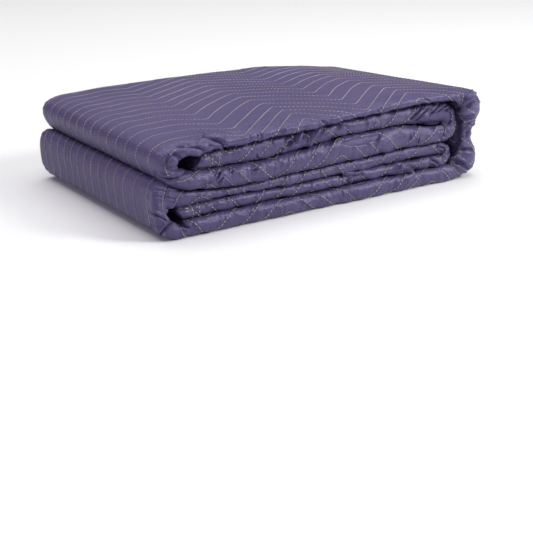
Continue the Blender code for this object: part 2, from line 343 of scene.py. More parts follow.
def ply_centres(thick):
    """Room of the outer and inner plies, and the depth of each ply's middle from the outside."""
    outer = np.minimum(OUTER_PLY, OUTER_SHARE * thick)
    inner = (thick - 2 * outer) / (PLIES - 2)
    between = [outer + (place - 0.5) * inner for place in range(1, PLIES - 1)]
    return outer, inner, np.stack([outer / 2, *between, thick - outer / 2])


def quarter_length(long, short):
    """Length of a quarter of an ellipse."""
    uneven = ((long - short) / np.maximum(long + short, 1e-6)) ** 2
    return math.pi / 4 * (long + short) * (1 + 3 * uneven / (10 + np.sqrt(4 - 3 * uneven)))


def quarter_angle(share, long, short):
    """Angle on a quarter of an ellipse at a share of its length, from the end of its long axis."""
    share = np.clip(share, 0.0, 1.0)
    flat = np.clip(1.0 - short / np.maximum(long, 1e-6), 0.0, 1.0)
    return (1.0 - flat) * math.pi / 2 * share + flat * np.arccos(1.0 - share)


def profile(across, rib):
    """Depth from the pack's front, depth under the outside, and the cloth's thickness."""
    thick = np.hypot(rib.outer_x - rib.inner_x, rib.outer_z - rib.inner_z)
    outer, inner, centres = ply_centres(thick)
    eighth = np.clip((across // PLY_WIDTH).astype(int), 0, PLIES - 1)
    place, nest, joined, reach, back_roll = np.moveaxis(EIGHTHS[eighth], -1, 0)
    centre = np.take_along_axis(centres, place.astype(int)[None], axis=0)[0]
    other = np.take_along_axis(centres, joined.astype(int)[None], axis=0)[0]
    other = np.where(eighth == 0, centre + 2 * np.minimum(HEM_DROP, HEM_SHARE * thick), other)
    rest = across - eighth * PLY_WIDTH
    from_front = np.where(eighth % 2 == 0, PLY_WIDTH - rest, rest)
    from_back = PLY_WIDTH - from_front

    inset = np.where(nest == 0, outer / 2, outer + (nest - 0.5) * inner)
    half = thick / 2 - inset
    side = np.where(place < PLIES / 2, 1.0, -1.0)
    roll = np.where(side > 0, rib.roll_outer, rib.roll_inner)
    roll = np.maximum(roll - inset, ROLL_LEAST * half)
    front = rib.recess + inset
    quarter = quarter_length(roll, half)
    angle = quarter_angle(from_front / quarter, roll, half)
    back_quarter = math.pi / 4 * (back_roll + np.abs(centre - other) / 2)
    turn = math.pi / 2 * np.clip(from_back / np.maximum(back_quarter, 1e-6), 0.0, 1.0)

    share = np.clip((from_front - quarter) / (PLY_WIDTH - quarter - back_quarter), 0.0, 1.0)
    depth = front + roll + share * (reach - back_roll - front - roll)
    depth = np.where(from_front < quarter, front + roll * (1 - np.cos(angle)), depth)
    depth = np.where(from_back < back_quarter, reach - back_roll * (1 - np.cos(turn)), depth)
    down = np.where(from_front < quarter, thick / 2 - side * half * np.sin(angle), centre)
    bend = (centre + other) / 2 + (centre - other) / 2 * np.sin(turn)
    down = np.where(from_back < back_quarter, bend, down)
    room = np.where((place == 0) | (place == PLIES - 1), outer, inner)
    return depth, down, room * PLY_FILL


def thinned(x, y, z):
    """Height after the pack has thinned towards its back at the wrap's end."""
    back = y / PACK_DEPTH + 0.5
    return z * (1.0 - np.interp(x, THINNING_X, THINNING_SHARE) * back)


def rounded(x, y):
    """Depth place after the rounding of the pack's back corner beside the wrap."""
    cut = np.clip((x - CORNER_START_X) / (CORNER_FULL_X - CORNER_START_X), 0.0, 1.1) ** 2
    back = np.clip((y / PACK_DEPTH + 0.5 - CORNER_BACK) / (1.0 - CORNER_BACK), 0.0, 1.0)
    return y - CORNER_CUT * cut * back


def cloth_base(along, across, face):
    """Points of the smooth cloth: its face (1), middle (0) or back (-1)."""
    along, across = np.broadcast_arrays(np.asarray(along, float), np.asarray(across, float))
    rib = STRIP.at(along)
    across = np.clip(across, 0.0, FLAT_WIDTH)
    depth, down, fill = profile(across, rib)
    ahead, under = profile(np.clip(across + NUDGE, 0.0, FLAT_WIDTH), rib)[:2]
    behind, over = profile(np.clip(across - NUDGE, 0.0, FLAT_WIDTH), rib)[:2]
    run_depth, run_down = ahead - behind, under - over
    off = face * fill / 2 / np.maximum(np.hypot(run_depth, run_down), 1e-9)
    depth, down = depth - off * run_down, down + off * run_depth
    out_x, out_z = rib.outer_x - rib.inner_x, rib.outer_z - rib.inner_z
    share = down / np.hypot(out_x, out_z)
    x, z = rib.outer_x - out_x * share, rib.outer_z - out_z * share
    y = rounded(x, depth - PACK_DEPTH / 2)
    return np.stack((x - MIDDLE_X, y - MIDDLE_Y, thinned(x, y, z)), axis=-1)


# ---- The quilting lines. ----

LINE_SPACING = 17.6         # between two lines, across the strip, behind the first ply
# The outermost ply's lines, by how far behind the front line each lies: closer to the back.
LINES_BEHIND = (0.0, 14.0, 29.5, 47.5, 68.5, 87.5, 105.0, 121.0, 136.0, 150.5, 164.5, 178.0,
                191.0, 204.0, 217.0, 230.0, 243.0, 256.0, 269.0)
FARTHEST_LINE = 100         # a line beyond the cloth's end: up to it the spacing is even
LINE_NUMBERS = np.array([*range(1 - len(LINES_BEHIND), 1), FARTHEST_LINE])
LINE_PLACES = np.array([-place for place in LINES_BEHIND[::-1]] + [FARTHEST_LINE * LINE_SPACING])
# How far the lines swing from side to side, by the same distance.
SWING_BEHIND = (-60.0, 0.0, 30.0, 45.0, 60.0, 80.0, 100.0, 120.0, 135.0, 160.0, 200.0)
SWING_TOP = (1.2, 1.35, 1.42, 1.43, 1.42, 1.27, 1.12, 1.02, 0.95, 0.88, 0.75)
SWING_SIDE = (1.2, 0.85, 0.4, 0.35, 0.6, 0.85, 1.0, 1.12, 1.2, 1.25, 1.2)
ZIG_HALF_PERIOD = 70.0
ZIG_HEIGHT = 41.5
ZIG_START = 26.2
FIRST_KINK = -1
# Kinks moved from their regular places, where the cloth lies skewed.
KINK_SHIFTS = table(
    "number along across",
    (9, 49.0, 31.0),
    (10, 8.0, 0.0),
    (11, 7.0, 0.0),
    (13, -8.0, 5.0),
    (17, 13.0, 0.0),
    (18, 26.0, 0.0),
    (19, 40.0, 0.0),
    (20, 27.0, 0.0),
    (21, 30.0, 0.0),
    (22, 18.0, 0.0),
    (23, 8.0, 0.0),
)
# On the side folds the lines run straighter.
EXTRA_KINKS = table("along across", (640.0, 13.0), (1484.0, 15.0))


def kinks():
    """Places of the quilting lines' kinks: distances along, and sideways offsets."""
    numbers = np.arange(FIRST_KINK, int(STRIP.total / ZIG_HALF_PERIOD) + 2)
    places = np.stack((ZIG_START + numbers * ZIG_HALF_PERIOD,
                       np.where(numbers % 2 == 0, 0.5, -0.5) * ZIG_HEIGHT))
    for shift in KINK_SHIFTS:
        places[:, shift.number - FIRST_KINK] += (shift.along, shift.across)
    places = np.concatenate((places, np.transpose(EXTRA_KINKS)), axis=1)
    return places[:, np.argsort(places[0])]


KINKS = kinks()


def zigzag(along):
    """Sideways place of a quilting line at a distance along the strip, its kinks eased."""
    return sum(np.interp(along + shift, *KINKS) for shift in (-3.0, -1.0, 1.0, 3.0)) / 4


def on_turn(name, along, past=-5.0, gone=25.0):
    """1 on the wrap or a side fold, fading to 0 beside it."""
    start, end = STRIP.stretches[name]
    after = smooth(end + past, end + gone, along)
    return smooth(start - 25, start + 10, along) * (1.0 - after)


def swing(along, across):
    """How far a quilting line is off its middle at a place of the cloth."""
    sides = sum(on_turn(name, along, 10.0, 50.0) for name in ("fold A", "fold B"))
    top = np.interp(FRONT_LINE - across, SWING_BEHIND, SWING_TOP)
    side = np.interp(FRONT_LINE - across, SWING_BEHIND, SWING_SIDE)
    return (top + sides * (side - top)) * zigzag(along)


def line_place(along, across):
    """Place between quilting lines: whole numbers lie on a line."""
    return np.interp(across - FRONT_LINE - swing(along, across), LINE_PLACES, LINE_NUMBERS)


def line_across(line, along):
    """Where a quilting line runs, across the strip."""
    across = middle = FRONT_LINE + np.interp(line, LINE_NUMBERS, LINE_PLACES)
    for _ in range(5):
        across = middle + swing(along, across)
    return across


# ---- The padding's relief. ----

PUFF_FLAT = 0.10            # half the height from a quilting line to the padding's crown
PUFF_ROLL = 0.60            # the same on the front rolls, where the cloth bunches
PUFF_BACK = 0.5             # the same on the folds at the pack's back
PUFF_EDGE = 2.4             # the higher, the narrower the valleys along the lines
PUFF_SINK = 1.45            # how deep the lines lie under the smooth cloth, in puffs
SWELL = 0.9                 # how unevenly the padding between two lines swells
SWELL_RUN = 17.0            # length along of one swelling
ROLL_REACH = 24.0           # how far from the front line the bunching goes
GATHER_HIGH = 0.45          # short gathers beside each quilting line
GATHER_REACH = 4.2
# Their lumps: length along, how many from line to line, share of the height, and seed.
GATHERS = table("run beside share seed", (3.4, 0.8, 1.0, 11), (5.5, 1.3, 0.6, 12))
UNEVEN_HIGH = 0.35          # slow unevenness of the whole cloth
CRUMPLE_HIGH = 0.40         # sharp-edged crumples on the rolls
CRUMPLE_RUN = 19.0          # length of the largest of them
# Share of the crumples and gathers on these stretches.
TURN_CRUMPLE = {"layer 1": 0.2, "wrap": 0.45, "fold A": 0.35, "fold B": 0.35}
BINDING_WIDTH = 16.5


def lumps(a, b, seed):
    """Smooth random heights of about -1 to 1, one lump to a unit of a and b."""
    lattice = np.random.default_rng(seed).uniform(-1.0, 1.0, (64, 64))
    cell_a, cell_b = np.floor(a).astype(int), np.floor(b).astype(int)
    share_a, share_b = smooth(0.0, 1.0, a - cell_a), smooth(0.0, 1.0, b - cell_b)

    def edge(step_b):
        low, high = (lattice[(cell_a + step_a) % 64, (cell_b + step_b) % 64] for step_a in (0, 1))
        return low * (1 - share_a) + high * share_a

    return edge(0) * (1 - share_b) + edge(1) * share_b


def ridged(a, b, seed):
    """Sharp creases between rounded lumps: 0 in the creases and up to 1 between them."""
    return np.minimum(np.abs(lumps(a, b, seed)) * 1.8, 1.0) ** 0.8


def crumples(along, across):
    """Creases of cloth that is pushed together, at two sizes and slanting both ways."""
    bend = 0.77 * lumps(along / 23.0, across / 23.0, 21)
    first = along / CRUMPLE_RUN + across / (2.2 * CRUMPLE_RUN) + bend
    second = across / (0.75 * CRUMPLE_RUN) - along / (3.0 * CRUMPLE_RUN) + bend
    large = ridged(first, second, 22) - 0.8 * ridged(second + 7.3, first + 3.1, 23)
    small = ridged(2.1 * first + 0.7 * second, 1.9 * second - 0.5 * first, 24)
    return large + 0.45 * (small - 0.5)


def bunching(across):
    """1 on the front rolls, fading to 0 on the flat faces."""
    return np.exp(-((across - FRONT_LINE) / ROLL_REACH) ** 2)


def on_back(across):
    """1 on the folds at the pack's back."""
    turns = np.abs(((across + PLY_WIDTH) % (2 * PLY_WIDTH)) - PLY_WIDTH)
    return (1.0 - smooth(8.0, 22.0, turns)) * (across > PLY_WIDTH)


def relief(along, across):
    """Height of the face over the smooth cloth."""
    place = line_place(along, across)
    channel = np.floor(place)
    share = np.abs(2 * (place - channel) - 1.0)
    bunch = bunching(across)
    crumpled = 1.0
    for name, part in TURN_CRUMPLE.items():
        crumpled = crumpled * (1.0 + (part - 1.0) * on_turn(name, along))
    puff = PUFF_FLAT + (PUFF_ROLL - PUFF_FLAT) * bunch
    puff = puff + (PUFF_BACK - PUFF_FLAT) * on_back(across)
    swell = 1.0 + SWELL * bunch * lumps(along / SWELL_RUN + 3.7 * channel, channel, 31)
    height = puff * (2 * swell * (1.0 - share**PUFF_EDGE) - PUFF_SINK)
    gathers = sum(row.share * lumps(along / row.run, place * row.beside, row.seed) for row in GATHERS)
    beside = (1.0 - share) * LINE_SPACING / 2
    gather = GATHER_HIGH * (0.1 + bunch) * crumpled
    height = height + gather * gathers * np.exp(-(beside / GATHER_REACH) ** 2)
    height = height + CRUMPLE_HIGH * bunch * crumpled * crumples(along, across)
    height = height + UNEVEN_HIGH * lumps(along / 47.0, across / 38.0, 14)
    # Nothing puffs under the tape at the strip's ends.
    to_end = np.minimum(along, STRIP.total - along)
    return height * smooth(BINDING_WIDTH - 2, BINDING_WIDTH + 8, to_end)


# ---- Main creases. ----

CAMERA_PLACE = (-0.63794, -0.94656, 0.34216)
EYE = np.array(CAMERA_PLACE) / MM
FRONT_PLANE_Y = -PACK_DEPTH / 2 + 2.0 - MIDDLE_Y
CREASED_Y = -PACK_DEPTH / 2 + 70.0 - MIDDLE_Y   # creases reach no further back than this
CREASE_REACH = 14.0         # nor further than this round their points
CREASE_DEEPEN = 1.9         # all creases are this much deeper than stated
CREASE_END = 4.0            # a crease fades over this length at its ends
STEP_EDGE = 0.5             # half the width of a step's edge
STEP_UPPER = 3.2            # how far its upper side reaches, in the crease's widths
STEP_LOWER = 1.6
GROOVE_SHARE = 0.8          # a groove's core is narrower than its stated width
FLANK_PLACE = 2.3           # beside a groove the cloth rises: where, how wide and how much
FLANK_WIDE = 1.2
FLANK_HIGH = 0.35

# Their points are sizes on the plane of the pack's front (x to the wrap, z up), as it is seen
# from the product camera. A groove sinks, a slit sinks between two lips, a ridge rises, a step
# lifts the cloth left of its direction over the cloth on its right, a pit is a closed outline.
CREASES = table(
    "kind wide high points",
    # The tongue of inner plies in fold A's front, and its top ply.
    ("slit", 2.2, 1.9, ((-125.4, 71.9), (-130.2, 74.9), (-136.8, 77.1), (-145.3, 79.1), (-154.7, 80.8))),
    ("slit", 2.0, 1.8, ((-106.4, 70.2), (-108.8, 74.9), (-111.7, 78.3), (-122.3, 82.4), (-132.8, 85.9))),
    ("slit", 1.6, 1.2, ((-174.7, 64.2), (-172.6, 59.6), (-168.2, 56.2), (-162.1, 54.2),
     (-156.5, 53.5), (-149.8, 55.4), (-144.0, 58.3))),
    # Tucks on layer 3 near fold A.
    ("slit", 1.4, 1.3, ((-115.5, 46.3), (-111.6, 53.4))),
    ("slit", 1.4, 1.3, ((-115.0, 42.3), (-107.2, 48.9))),
    ("slit", 1.3, 1.0, ((-99.6, 52.6), (-101.6, 48.4))),
    ("slit", 1.4, 0.9, ((-129.3, 42.6), (-121.8, 44.6), (-118.2, 44.5))),
    ("slit", 1.3, 1.1, ((-73.9, 50.6), (-76.4, 48.2), (-82.3, 47.4))),
    ("ridge", 1.5, 1.0, ((-73.1, 48.3), (-77.0, 44.5))),
    # Gathers and diagonal folds on layers 1 and 2.
    ("slit", 1.3, 0.7, ((-69.1, 74.5), (-74.3, 72.5))),
    ("slit", 1.1, 0.5, ((-72.4, 81.1), (-70.2, 76.9))),
    ("slit", 1.1, 0.6, ((-73.3, 75.6), (-68.2, 79.2))),
    ("slit", 1.1, 0.4, ((-50.6, 75.7), (-46.7, 79.5), (-44.9, 75.8))),
    ("slit", 1.4, 1.4, ((-43.2, 65.0), (-37.2, 68.6))),
    ("slit", 1.4, 1.0, ((-51.3, 60.5), (-45.2, 63.6))),
    ("slit", 1.3, 0.8, ((-76.9, 61.8), (-72.4, 56.6))),
    ("step", 2.6, 1.8, ((-35.7, 63.4), (-25.7, 74.4))),
    ("slit", 1.4, 1.2, ((-39.1, 69.1), (-44.5, 64.7))),
    ("step", 2.4, 1.5, ((-18.6, 58.4), (-17.3, 65.8), (-10.4, 70.4), (-6.4, 74.4))),
    ("slit", 1.2, 0.6, ((-7.7, 70.7), (-2.2, 73.8), (3.4, 75.9))),
    ("slit", 1.4, 0.5, ((-8.7, 82.2), (1.2, 75.7))),
    ("ridge", 1.4, 0.5, ((-7.9, 81.6), (-6.4, 76.1))),
    ("step", 2.2, 1.1, ((12.7, 69.4), (20.3, 75.9))),
    ("groove", 3.0, 1.0, ((11.4, 67.2), (-1.9, 60.0))),
    ("slit", 1.4, 0.5, ((38.1, 76.3), (44.1, 76.0))),
    ("ridge", 1.5, 1.0, ((45.0, 74.1), (45.8, 68.1))),
    ("slit", 1.3, 0.5, ((58.4, 86.2), (61.8, 82.4))),
    ("slit", 1.3, 0.4, ((61.6, 86.0), (58.6, 82.8))),
    ("slit", 1.3, 0.5, ((109.9, 87.0), (118.6, 80.8))),
    ("slit", 1.3, 0.5, ((97.1, 82.9), (101.1, 78.8))),
    ("slit", 1.5, 1.3, ((94.4, 67.5), (109.4, 79.1))),
    ("slit", 1.4, 1.2, ((99.0, 64.9), (118.0, 77.4))),
    ("slit", 1.6, 1.5, ((102.0, 62.8), (116.6, 68.0), (131.1, 77.8))),
    ("slit", 1.3, 1.2, ((125.9, 70.4), (139.8, 75.8))),
    ("slit", 1.1, 0.9, ((136.3, 70.4), (143.0, 72.4))),
    # The recessed inner plies between layers 2 and 3, and the pocket to their left.
    ("pit", 1.4, 3.4, ((104.0, 63.0), (116.6, 67.6), (126.9, 71.0), (137.3, 72.0), (145.1, 69.2),
     (147.7, 62.1), (144.3, 56.4), (134.6, 57.0), (111.6, 59.5), (98.0, 61.0))),
    ("pit", 1.4, 2.6, ((13.7, 58.8), (23.7, 60.2), (45.4, 59.9), (60.3, 60.1), (56.7, 54.7),
     (38.4, 52.1), (23.8, 54.9))),
    # Layers 3, 4 and 5.
    ("groove", 2.4, 1.6, ((60.3, 60.1), (53.2, 51.6))),
    ("ridge", 1.6, 1.1, ((57.1, 47.4), (55.8, 41.6))),
    ("slit", 1.4, 1.4, ((134.1, 48.3), (139.1, 45.7))),
    ("groove", 2.2, 1.3, ((98.7, 54.5), (92.7, 46.7))),
    ("slit", 1.4, 0.9, ((107.3, 50.4), (104.9, 43.3))),
    ("slit", 1.3, 0.8, ((57.4, 44.8), (54.9, 40.9))),
    ("step", 1.8, 1.5, ((13.7, 30.5), (19.6, 26.5), (32.1, 25.0), (43.0, 25.6))),
    ("slit", 1.1, 0.8, ((36.6, 29.6), (39.2, 27.2))),
    ("step", 2.0, 1.3, ((25.6, 17.7), (30.6, 24.7))),
    ("slit", 1.4, 1.2, ((128.0, 38.4), (139.9, 33.5), (136.2, 30.4))),
    ("step", 1.9, 2.0, ((104.8, 13.7), (98.8, 19.2), (94.0, 23.7), (79.9, 26.0))),
    ("slit", 1.4, 1.2, ((119.2, 26.3), (126.0, 23.6), (133.2, 18.8))),
    ("slit", 1.3, 1.0, ((124.0, 29.0), (133.0, 25.0))),
    # The wrap, and the dark gap between it and the pack that it goes round.
    ("groove", 3.6, 2.8, ((142.9, 76.2), (148.9, 70.0), (153.1, 62.5), (154.8, 54.7),
     (154.3, 46.1), (155.4, 39.4), (150.1, 30.3), (139.3, 22.7))),
    ("groove", 2.6, 4.2, ((181.5, 79.1), (169.9, 75.5), (162.4, 72.1), (148.8, 72.4))),
    ("groove", 2.0, 1.8, ((165.9, 88.5), (165.3, 83.4), (158.3, 74.2))),
    ("ridge", 2.4, 1.6, ((171.5, 86.5), (168.6, 81.6), (164.0, 77.0))),
    ("groove", 2.4, 3.0, ((158.3, 60.0), (179.2, 59.0))),
    ("groove", 1.8, 1.6, ((162.8, 53.4), (173.5, 54.8), (181.4, 55.3))),
    ("groove", 2.2, 1.9, ((163.5, 42.7), (174.0, 49.6))),
    ("groove", 1.8, 1.6, ((154.7, 31.2), (170.8, 28.1), (179.0, 24.5))),
    ("groove", 2.0, 2.4, ((151.6, 19.6), (160.9, 15.1), (174.4, 6.7))),
    # Fold B's front corner.
    ("slit", 1.3, 0.9, ((-161.4, 17.4), (-171.5, 24.1), (-180.8, 30.6))),
    ("slit", 1.1, 0.5, ((-177.3, 48.3), (-151.4, 41.7))),
    ("slit", 1.1, 0.5, ((-176.8, 43.4), (-151.6, 34.9))),
    ("slit", 1.5, 1.3, ((-158.4, 19.0), (-165.0, 13.6), (-170.0, 9.0), (-173.5, 4.5))),
    ("slit", 1.6, 1.4, ((-154.0, 14.2), (-147.0, 10.8), (-140.8, 7.7))),
    ("slit", 1.4, 1.0, ((-163.5, 30.0), (-159.0, 25.5))),
)

# Small round curls of the innermost plies.
CURLS = table(
    "x z radius high",
    (-157.0, 67.7, 5.9, 2.2),
    (-175.7, 12.3, 4.4, 0.6),
    (134.0, 49.6, 4.0, 0.9),
)


def seen_on_front(points):
    """Where the points appear on the plane of the pack's front, seen from the camera."""
    share = (FRONT_PLANE_Y - EYE[1]) / (points[..., 1] - EYE[1])
    x, z = (EYE[axis] + share * (points[..., axis] - EYE[axis]) for axis in (0, 2))
    return x + MIDDLE_X, z


def line_distance(x, z, points):
    """Distance to a line of points, side of it (left is positive), and how near its ends."""
    best = np.full(x.shape, np.inf)
    side, ends = np.zeros(x.shape), np.ones(x.shape)
    lengths = [math.dist(a, b) for a, b in zip(points, points[1:])]
    total, before = sum(lengths), 0.0
    for (x_a, z_a), (x_b, z_b), length in zip(points, points[1:], lengths):
        dir_x, dir_z = (x_b - x_a) / length, (z_b - z_a) / length
        run = np.clip((x - x_a) * dir_x + (z - z_a) * dir_z, 0.0, length)
        off_x, off_z = x - x_a - run * dir_x, z - z_a - run * dir_z
        distance = np.hypot(off_x, off_z)
        to_end = np.minimum(before + run, total - before - run)
        nearer = distance < best
        best = np.where(nearer, distance, best)
        side = np.where(nearer, dir_x * off_z - dir_z * off_x, side)
        ends = np.where(nearer, smooth(-0.01, min(CREASE_END, total / 3), to_end), ends)
        before += length
    return best, side, ends


def inside_distance(x, z, points):
    """Distance inwards from a closed outline, 0 outside it."""
    inside = np.zeros(x.shape, bool)
    for (x_a, z_a), (x_b, z_b) in zip(points, points[1:] + points[:1]):
        if z_a != z_b:
            before = x < x_a + (z - z_a) / (z_b - z_a) * (x_b - x_a)
            inside ^= before & ((z_a > z) != (z_b > z))
    return np.where(inside, line_distance(x, z, points + points[:1])[0], 0.0)


def crease_height(crease, x, z):
    """How far one crease lifts the cloth at each place."""
    if crease.kind == "pit":
        return -crease.high * smooth(0.0, crease.wide, inside_distance(x, z, crease.points))
    distance, side, ends = line_distance(x, z, crease.points)
    if crease.kind == "step":
        fade = np.exp(-np.abs(side) / (np.where(side > 0, STEP_UPPER, STEP_LOWER) * crease.wide))
        beyond = np.exp(-(np.maximum(distance - np.abs(side), 0.0) / crease.wide) ** 2)
        return crease.high * ends * beyond * fade * np.tanh(side / STEP_EDGE)
    sign = 1.0 if crease.kind == "ridge" else -1.0
    wide = GROOVE_SHARE * crease.wide
    core = np.exp(-1.1 * distance / wide)
    flank = np.exp(-((distance - FLANK_PLACE * wide) / (FLANK_WIDE * wide)) ** 2)
    return sign * crease.high * (core - FLANK_HIGH * flank) * (0.2 + 0.8 * ends)


def curl_height(curl, x, z):
    """How far one curl lifts the cloth at each place."""
    distance = np.hypot(x - curl.x, z - curl.z) / curl.radius
    crown = np.sqrt(np.clip(1.0 - distance**2, 0.0, 1.0)) - 0.5 * (distance < 1.0)
    ring = np.exp(-((distance - 1.12) / 0.22) ** 2)
    return curl.high * (0.8 * crown - 0.9 * ring)


def creased(points, facing):
    """Height that all creases and curls give the cloth's face where the camera sees it."""
    height = np.zeros(points.shape[:-1])
    toward = np.einsum("...k,...k->...", EYE - points, facing)
    seen = (toward > 0) & (points[..., 1] < CREASED_Y)
    x, z = seen_on_front(points[seen])
    found = np.zeros(x.shape)
    for crease in CREASES:
        corners = np.array(crease.points)
        low, high = corners.min(0) - CREASE_REACH, corners.max(0) + CREASE_REACH
        near = (x > low[0]) & (x < high[0]) & (z > low[1]) & (z < high[1])
        found[near] += crease_height(crease, x[near], z[near])
    height[seen] = found + sum(curl_height(curl, x, z) for curl in CURLS)
    return height


def cloth_face(along, across):
    """Points of the cloth's face with its padding, and the directions they face."""
    base = cloth_base(along, across, 1.0)
    step_along = cloth_base(along + NUDGE, across, 1.0) - cloth_base(along - NUDGE, across, 1.0)
    step_across = cloth_base(along, across + NUDGE, 1.0) - cloth_base(along, across - NUDGE, 1.0)
    facing = unit(np.cross(step_across, step_along))
    height = relief(along, across)
    height = height + CREASE_DEEPEN * creased(base, facing) * bunching(across)**0.25
    return base + facing * height[..., None], facing


# ---- The sheet's mesh: rows along the strip, each with its own spacing of points. ----

FINEST = 2688               # steps along the strip where the mesh is finest
FINEST_STEP = STRIP.total / FINEST
SLOWEST = 32                # of these steps to one step of a row, at most
FLOOR_SKIN = 0.05           # nothing lies lower than this
# Bands of rows across the cloth: where each ends, the rows in it, and its kind.
BAND = "end rows kind"
INNER_BANDS = [(end, rows, "hidden") for end, rows in ((680.0, 4), (691.5, 5), (904.0, 4))]
FAR_BANDS = [(end, rows, "hidden") for end, rows in (
    (1133.0, 4), (1153.0, 6), (1366.0, 4), (1377.0, 5), (1585.0, 4), (1615.0, 8), (1819.0, 4))]
FACE_BANDS = table(
    BAND,
    (10.0, 4, "back"),
    (194.0, 58, "face"),
    (212.2, 13, "shoulder"),
    (247.0, 25, "roll"),
    (438.0, 5, "hidden"),
    (476.0, 13, "back"),
    *INNER_BANDS,
    (925.0, 10, "back"),
    *FAR_BANDS,
    (FLAT_WIDTH, 3, "back"),
)
UNDER_BANDS = table(
    BAND,
    (10.0, 2, "back"),
    (198.0, 6, "under"),
    (249.6, 10, "under"),
    (438.0, 5, "hidden"),
    (476.0, 8, "hidden"),
    *INNER_BANDS,
    (925.0, 5, "hidden"),
    *FAR_BANDS,
    (FLAT_WIDTH, 2, "back"),
)
# Finest steps to one step of a row, by the kind of band, in each stretch of the strip.
SPACINGS = {name: row for row in table(
    "stretches face shoulder roll back under hidden",
    (("layer 1",), 4, 2, 2, 8, 32, 32),
    (("layer 6",), 16, 8, 2, 8, 32, 32),
    (("layer 2", "layer 3", "layer 4", "layer 5"), 32, 8, 2, 8, 32, 32),
    (("turn 23", "turn 45"), 8, 4, 2, 8, 8, 8),
    (("fold A", "fold B", "wrap"), 4, 2, 1, 8, 8, 16),
) for name in row.stretches}


def row_knots(kind):
    """Numbers of the finest steps at which a row of this kind has a point."""
    chosen = np.zeros(FINEST + 1, bool)
    for name, limits in STRIP.stretches.items():
        first, last = (int(round(limit / FINEST_STEP / SLOWEST)) * SLOWEST for limit in limits)
        if SPACINGS[name].face < SLOWEST:
            first, last = first - SLOWEST * (first > 0), last + SLOWEST * (last < FINEST)
        chosen[first:last + 1:getattr(SPACINGS[name], kind)] = True
    chosen[FINEST] = True
    return np.flatnonzero(chosen)


def band_rows(bands):
    """Rows of a side of the sheet as (across, kind)."""
    rows = [(0.0, bands[0].kind)]
    start = 0.0
    for band in bands:
        for step in range(1, band.rows + 1):
            rows.append((start + (band.end - start) * step / band.rows, band.kind))
        start = band.end
    return rows


def zip_rows(first, second, first_start, second_start, flip):
    """Faces between two rows, each a sorted list of steps whose points are numbered on."""
    first, second = [*first, math.inf], [*second, math.inf]
    faces = []
    i = j = 0
    while i < len(first) - 2 or j < len(second) - 2:
        ahead = min(first[i + 1], second[j + 1])
        on_first, on_second = int(first[i + 1] == ahead), int(second[j + 1] == ahead)
        a, b = first_start + i, second_start + j
        corners = (a, *[a + 1] * on_first, *[b + 1] * on_second, b)
        faces.append(corners[::-1] if flip else corners)
        i, j = i + on_first, j + on_second
    return faces


class MeshParts:
    """Points, faces and flat-cloth places gathered for one mesh."""

    def __init__(self):
        self.points, self.faces, self.flat = [], [], []
        self.count = 0

    def add_points(self, points, flat):
        """Add points with their places on the flat cloth, and return the first one's number."""
        start = self.count
        self.points.append(np.asarray(points).reshape(-1, 3))
        self.flat.append(np.asarray(flat).reshape(-1, 2))
        self.count += len(self.points[-1])
        return start

    def add_tube(self, rings, flat, turn):
        """Add a closed tube through rings of points, with a face at each end."""
        count, size = rings.shape[:2]
        start = self.add_points(rings, flat)
        for first in range(start, start + (count - 1) * size, size):
            for spot in range(size):
                a, b = first + spot, first + (spot + 1) % size
                self.faces.append((a, a + size, b + size, b)[::turn])
        for first, way in ((start, turn), (start + (count - 1) * size, -turn)):
            self.faces.append(tuple(range(first, first + size))[::way])

    def build(self, name, material):
        """Make the object, with its places on the flat cloth, in metres, as its UV maps."""
        data = bpy.data.meshes.new(name)
        points = np.concatenate(self.points) * MM
        points[:, 2] = np.maximum(points[:, 2], FLOOR_SKIN * MM)
        data.from_pydata(points.tolist(), [], self.faces)
        data.shade_smooth()
        corners = np.zeros(len(data.loops), np.int32)
        data.loops.foreach_get("vertex_index", corners)
        flat = np.concatenate(self.flat)[corners]
        lines = np.stack((flat[:, 0] * MM, line_place(*flat.T)), axis=-1)
        for map_name, places in (("flat_cloth", flat * MM), ("quilt_lines", lines)):
            layer = data.uv_layers.new(name=map_name)
            layer.data.foreach_set("uv", places.astype(np.float32).ravel())
        data.materials.append(material)
        data.validate()
        return new_object(name, data)


def add_side(parts, bands, face):
    """Add one side of the sheet, and return each row's (across, knots, first point)."""
    rows = [(across, row_knots(kind)) for across, kind in band_rows(bands)]
    along = np.concatenate([knots for across, knots in rows]) * FINEST_STEP
    across = np.concatenate([np.full(len(knots), across) for across, knots in rows])
    points = cloth_face(along, across)[0] if face > 0 else cloth_base(along, across, face)
    beyond = 0.0 if face > 0 else 2 * FLAT_WIDTH
    start = parts.add_points(points, np.stack((along, across + beyond), axis=-1))
    placed = []
    for across, knots in rows:
        placed.append((across, knots, start))
        start += len(knots)
    for (_, first, first_start), (_, second, second_start) in zip(placed, placed[1:]):
        parts.faces += zip_rows(first, second, first_start, second_start, face > 0)
    return placed


def close_rim(parts, upper, under):
    """Join the two sides of the sheet round its four edges."""
    for row, flip in ((0, False), (-1, True)):
        (_, knots, start), (_, knots_under, start_under) = upper[row], under[row]
        parts.faces += zip_rows(knots, knots_under, start, start_under, flip)
    for end, flip in ((0, True), (-1, False)):
        numbers = [start + end % len(knots) for _, knots, start in upper + under]
        places = [across for across, _, _ in upper]
        places_under = [across for across, _, _ in under]
        for corners in zip_rows(places, places_under, 0, len(places), flip):
            parts.faces.append(tuple(numbers[corner] for corner in corners))


def blanket(material):
    """The whole blanket as one closed thin sheet."""
    parts = MeshParts()
    close_rim(parts, add_side(parts, FACE_BANDS, 1.0), add_side(parts, UNDER_BANDS, -1.0))
    return parts.build("moving_blanket_cloth", material)


# ---- Lips: the tucked cloth's own edges along the steps and slits, over the cloth beside. ----

